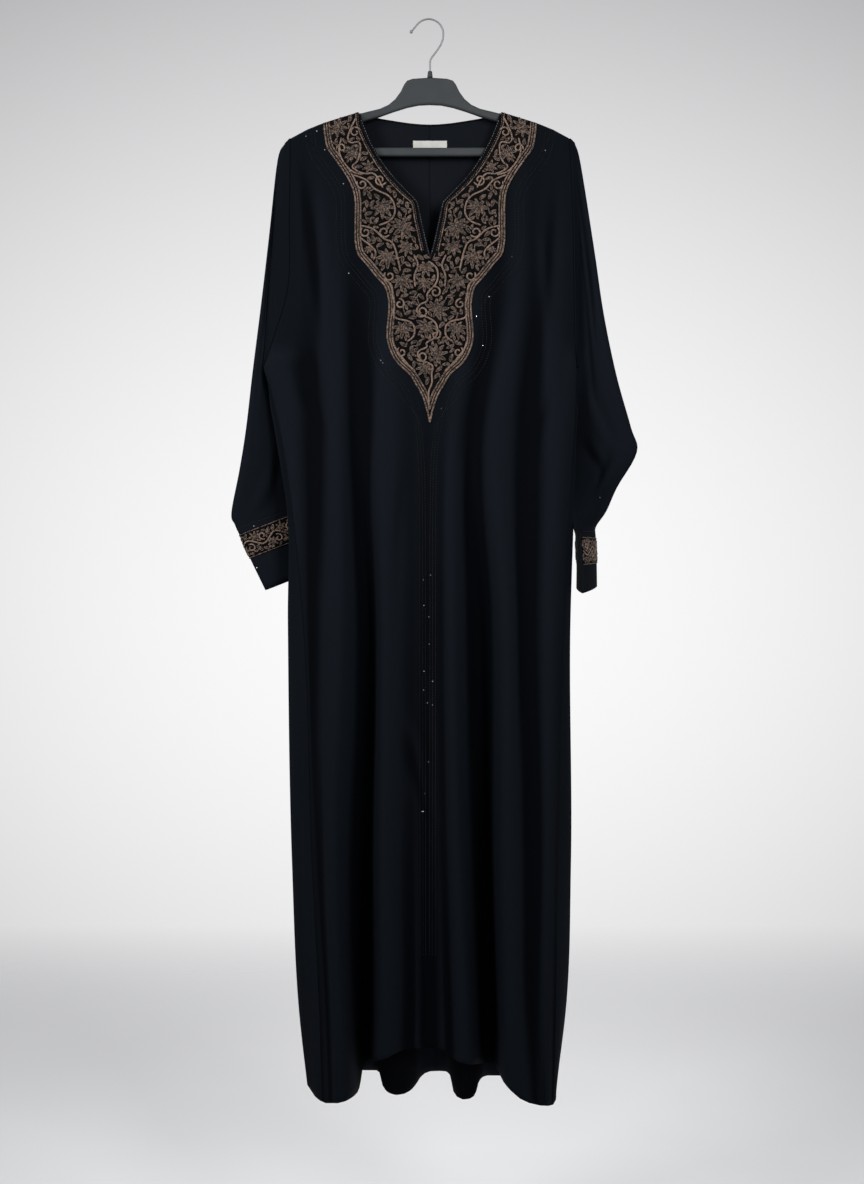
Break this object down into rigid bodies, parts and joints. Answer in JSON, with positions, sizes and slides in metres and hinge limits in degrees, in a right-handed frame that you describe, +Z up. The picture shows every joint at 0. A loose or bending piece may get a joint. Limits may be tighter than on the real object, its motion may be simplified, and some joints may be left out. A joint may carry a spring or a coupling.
{
  "type": "jilbab and hanger",
  "caption": "Long loose garment with embroidered yoke and cuff bands, V-slit neck and full sleeves, hanging in soft folds from a plastic hanger with a wire hook.",
  "frame": {"origin": "centre of the wire at the inside top of the hanger's hook, where a rail or wall hook holds it, at the middle of the garment", "axes": "+X to the right as seen from the front, the front of the garment faces -Y, +Z up"},
  "size_m": [0.6153, 0.1619, 1.6228],
  "materials": {
    "crepe": "matte black crepe with a faint cool sheen",
    "embroidery": "bronze brown cord embroidery on black",
    "binding": "black bound edge",
    "label": "cream satin tape, bare",
    "plastic": "charcoal, satin",
    "steel": "bright drawn wire"
  },
  "bodies": {
    "root": {"front": "crepe", "back_left": "crepe", "back_right": "crepe", "sleeve_left": "crepe", "sleeve_right": "crepe", "yoke": "embroidery", "cuff_band_left": "embroidery", "cuff_band_right": "embroidery", "neck_binding": "binding", "label": "label", "size_tab": "label", "hanger": "plastic", "hook_collar": "plastic", "hook": "steel", "hook_ball": "steel"}
  },
  "joints": []
}
